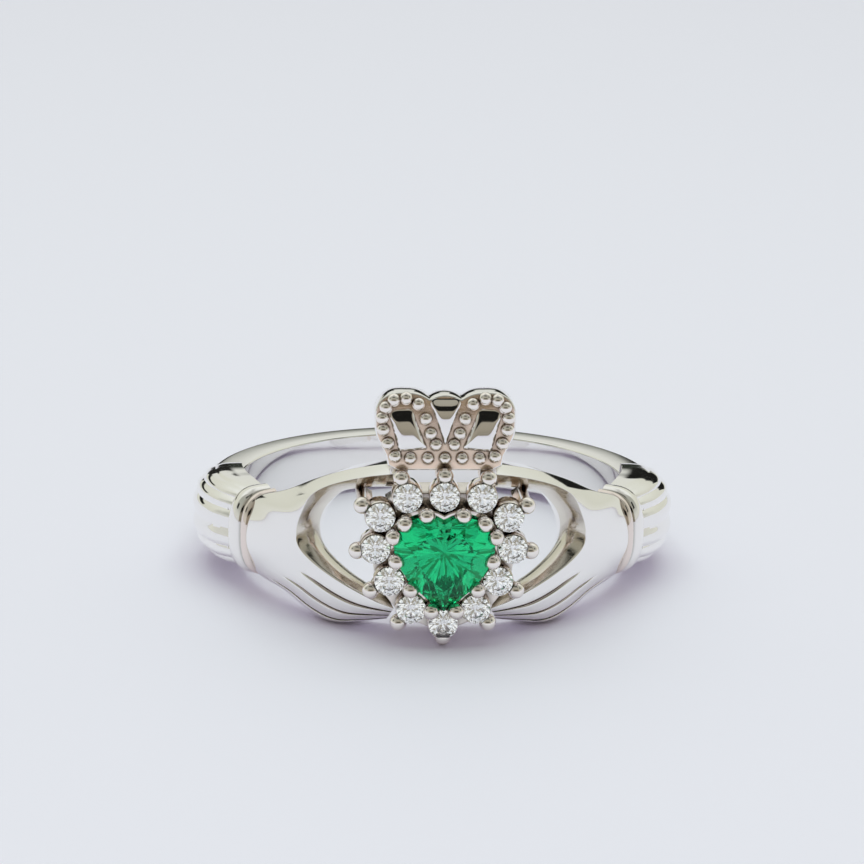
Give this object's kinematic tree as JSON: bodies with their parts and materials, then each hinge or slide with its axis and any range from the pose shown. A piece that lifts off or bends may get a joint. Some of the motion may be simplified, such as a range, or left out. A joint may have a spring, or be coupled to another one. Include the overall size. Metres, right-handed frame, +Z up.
{
  "type": "claddagh ring",
  "caption": "Silver claddagh ring: two hands hold a green heart stone in a halo of round stones under a beaded crown.",
  "frame": {"origin": "centre of the finger hole, on its axis, half way along the plain shank's width", "axes": "+Z up, as the ring lies on a flat surface, close to the finger hole's axis; the head faces -Y; +X to the viewer's right of the head"},
  "size_m": [0.0212, 0.0218, 0.0107],
  "materials": {
    "silver": "polished",
    "heart_stone": "polished",
    "halo_stones": "polished"
  },
  "bodies": {
    "root": {"silver_ring": "silver", "heart_stone": "heart_stone", "halo_stone_1": "halo_stones", "halo_stone_2": "halo_stones", "halo_stone_3": "halo_stones", "halo_stone_4": "halo_stones", "halo_stone_5": "halo_stones", "halo_stone_6": "halo_stones", "halo_stone_7": "halo_stones", "halo_stone_8": "halo_stones", "halo_stone_9": "halo_stones", "halo_stone_10": "halo_stones", "halo_stone_11": "halo_stones", "halo_stone_12": "halo_stones"}
  },
  "joints": []
}
